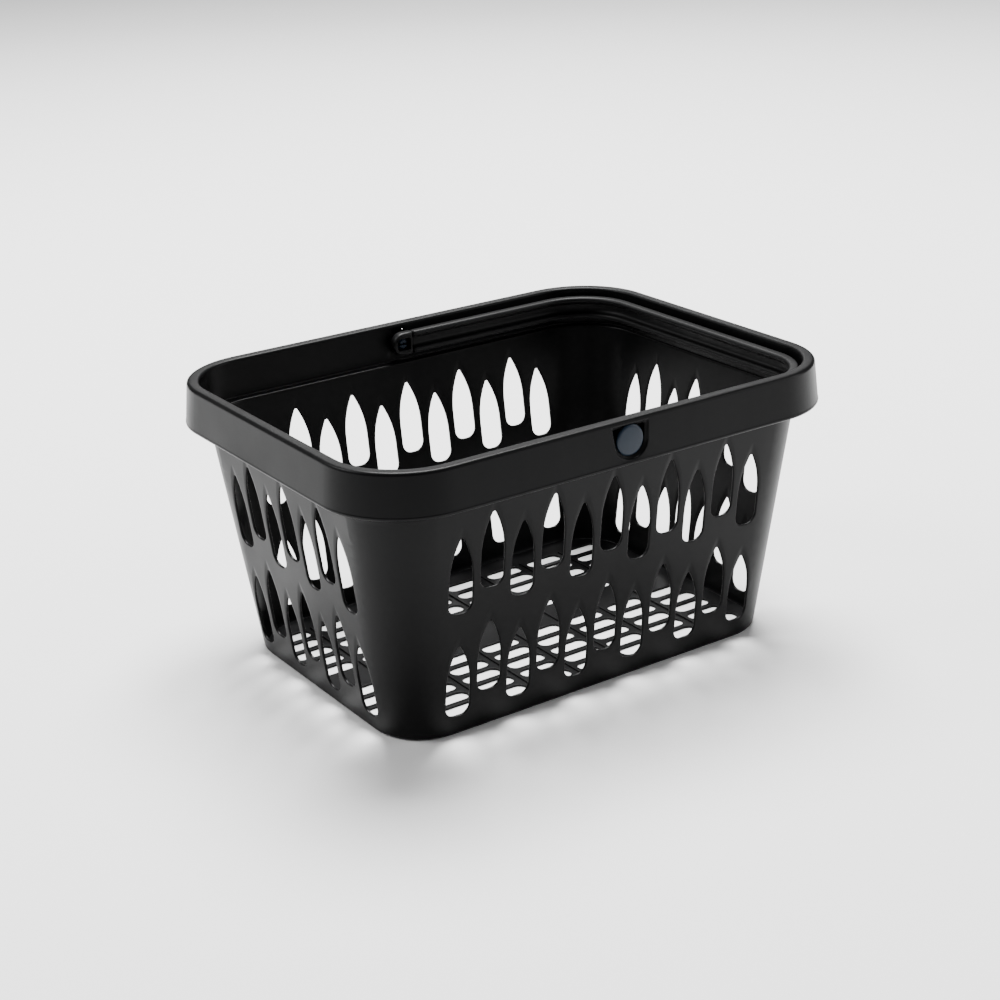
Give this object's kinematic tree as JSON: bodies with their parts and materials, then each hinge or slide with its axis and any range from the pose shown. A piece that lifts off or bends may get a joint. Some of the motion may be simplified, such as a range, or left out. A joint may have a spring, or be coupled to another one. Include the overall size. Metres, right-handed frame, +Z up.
{
  "type": "shopping basket",
  "caption": "Tapered plastic hand basket with pointed-arch slots, a slotted floor, a hollow rim and one swinging bail handle on snap-in studs.",
  "frame": {"origin": "middle of the base, on the surface that the basket stands on", "axes": "+Z up; +X along the long sides, towards the end that the folded handle lies in; Y along the handle's pivot axis, with the rear side at +Y"},
  "size_m": [0.4472, 0.3426, 0.2325],
  "materials": {
    "basket_plastic": "satin moulded black polypropylene",
    "handle_plastic": "satin moulded black polypropylene",
    "stud_plastic": "semi-gloss moulded blue-grey plastic"
  },
  "bodies": {
    "root": {"floor_grille": "basket_plastic", "front_wall": "basket_plastic", "rear_wall": "basket_plastic", "left_wall": "basket_plastic", "right_wall": "basket_plastic", "front_left_corner": "basket_plastic", "front_right_corner": "basket_plastic", "rear_left_corner": "basket_plastic", "rear_right_corner": "basket_plastic", "handle_ledge": "basket_plastic", "rim": "basket_plastic"},
    "handle_body": {"handle": "handle_plastic", "front_pivot_stud": "stud_plastic", "rear_pivot_stud": "stud_plastic"}
  },
  "joints": [
    {"name": "handle_swing", "type": "hinge", "parent": "root", "child": "handle_body", "pos_m": [0, 0, 0.216], "axis": [0, -1, 0], "range_deg": [0, 180]}
  ]
}
